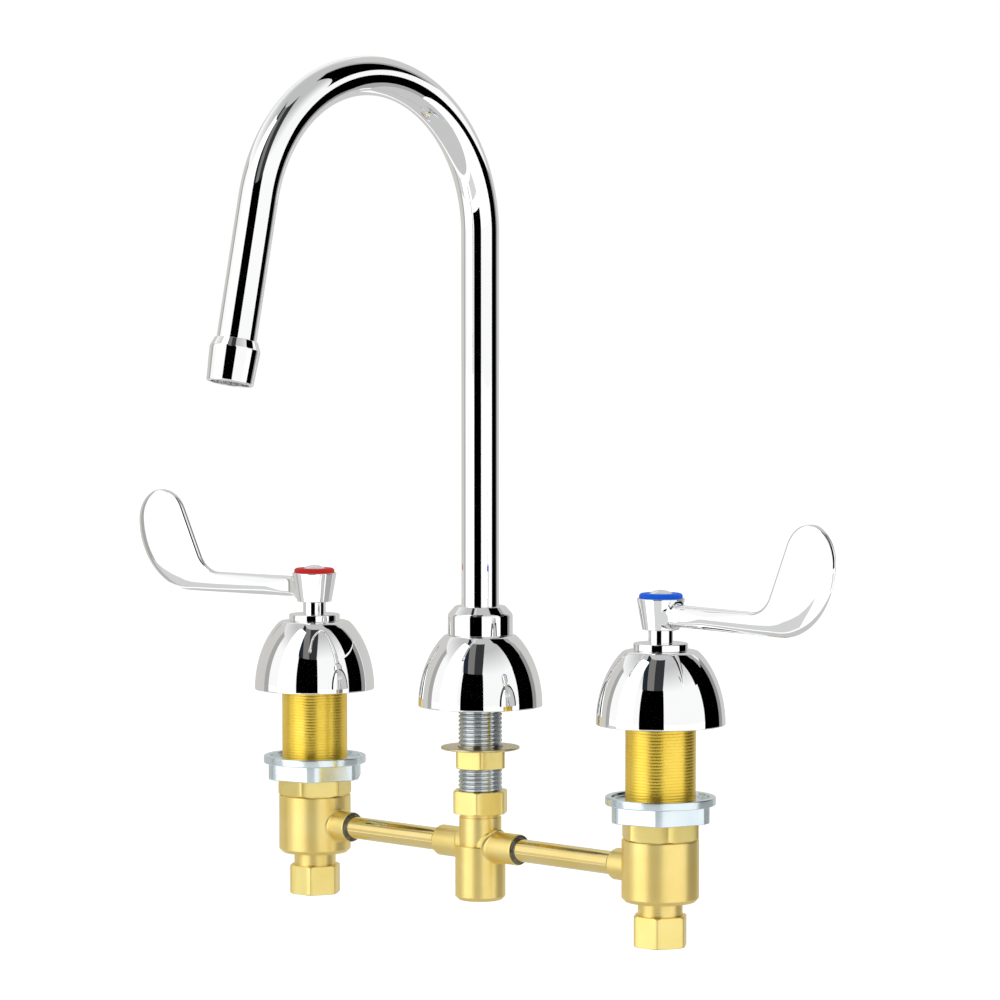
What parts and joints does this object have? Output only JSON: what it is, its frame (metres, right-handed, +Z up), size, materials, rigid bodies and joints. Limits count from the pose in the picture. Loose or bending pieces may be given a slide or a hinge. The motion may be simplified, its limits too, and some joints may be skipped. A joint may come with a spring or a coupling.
{
  "type": "widespread basin faucet",
  "caption": "Deck-mounted widespread basin faucet: gooseneck swing spout between hot and cold valves with wrist-blade handles, joined under the deck by a tee.",
  "frame": {"origin": "on the deck plane, at the spout's axis, in the middle of the rim of the spout's dome", "axes": "+Z up along the riser; +X along the row from the hot valve to the cold valve; the spout reaches towards -Y, where the user stands"},
  "size_m": [0.4056, 0.1765, 0.3597],
  "materials": {
    "polished_chrome": "mirror-polished chrome plate",
    "satin_cast_brass": "pale brass, satin brushed",
    "turned_brass": "golden turned brass",
    "drawn_brass": "smooth drawn brass",
    "bright_zinc": "bright blue-white zinc plate",
    "grey_zinc": "dull grey zinc plate on a thread",
    "stainless": "plain stainless steel",
    "white_ceramic": "lapped white ceramic",
    "black_rubber": "smooth black rubber",
    "white_acetal": "plain white acetal",
    "red_index": "gloss red",
    "blue_index": "gloss blue",
    "dark_solder": "dull darkened solder"
  },
  "bodies": {
    "faucet_base": {"hot_escutcheon": "polished_chrome", "hot_valve_body": "satin_cast_brass", "hot_sleeve": "turned_brass", "hot_flange_nut": "bright_zinc", "hot_inlet_nut": "satin_cast_brass", "hot_ferrule": "turned_brass", "hot_cartridge_housing": "turned_brass", "hot_cartridge_seal": "black_rubber", "hot_fixed_disc": "white_ceramic", "hot_seat_seal": "black_rubber", "hot_collar": "polished_chrome", "hot_link_tube": "drawn_brass", "cold_escutcheon": "polished_chrome", "cold_valve_body": "satin_cast_brass", "cold_sleeve": "turned_brass", "cold_flange_nut": "bright_zinc", "cold_inlet_nut": "satin_cast_brass", "cold_ferrule": "turned_brass", "cold_cartridge_housing": "turned_brass", "cold_cartridge_seal": "black_rubber", "cold_fixed_disc": "white_ceramic", "cold_seat_seal": "black_rubber", "cold_collar": "polished_chrome", "cold_link_tube": "drawn_brass", "spout_thrust_ring": "white_acetal", "spout_nut": "polished_chrome", "spout_escutcheon": "polished_chrome", "spout_shank": "grey_zinc", "shank_washer": "drawn_brass", "shank_locknut": "satin_cast_brass", "coupling_nut": "satin_cast_brass", "tee_gasket": "black_rubber", "tee_body": "satin_cast_brass", "solder_rings": "dark_solder"},
    "hot_control": {"hot_handle": "polished_chrome", "hot_handle_screw": "stainless", "hot_index_ring": "red_index", "hot_index_cap": "polished_chrome", "hot_stem": "polished_chrome", "hot_stem_seals": "black_rubber", "hot_moving_disc": "white_ceramic"},
    "cold_control": {"cold_handle": "polished_chrome", "cold_handle_screw": "stainless", "cold_index_ring": "blue_index", "cold_index_cap": "polished_chrome", "cold_stem": "polished_chrome", "cold_stem_seals": "black_rubber", "cold_moving_disc": "white_ceramic"},
    "spout": {"spout_tube": "polished_chrome", "spout_bushing": "turned_brass", "spout_seals": "black_rubber", "aerator_housing": "polished_chrome", "aerator_seal": "black_rubber", "aerator_insert": "white_acetal", "aerator_screen": "stainless"}
  },
  "joints": [
    {"name": "hot_handle_turn", "type": "hinge", "parent": "faucet_base", "child": "hot_control", "pos_m": [-0.1016, 0, 0.045], "axis": [0, 0, 1], "range_deg": [0, 90]},
    {"name": "cold_handle_turn", "type": "hinge", "parent": "faucet_base", "child": "cold_control", "pos_m": [0.1016, 0, 0.045], "axis": [0, 0, -1], "range_deg": [0, 90]},
    {"name": "spout_swing", "type": "hinge", "parent": "faucet_base", "child": "spout", "pos_m": [0, 0, 0.03], "axis": [0, 0, 1], "continuous": true}
  ]
}
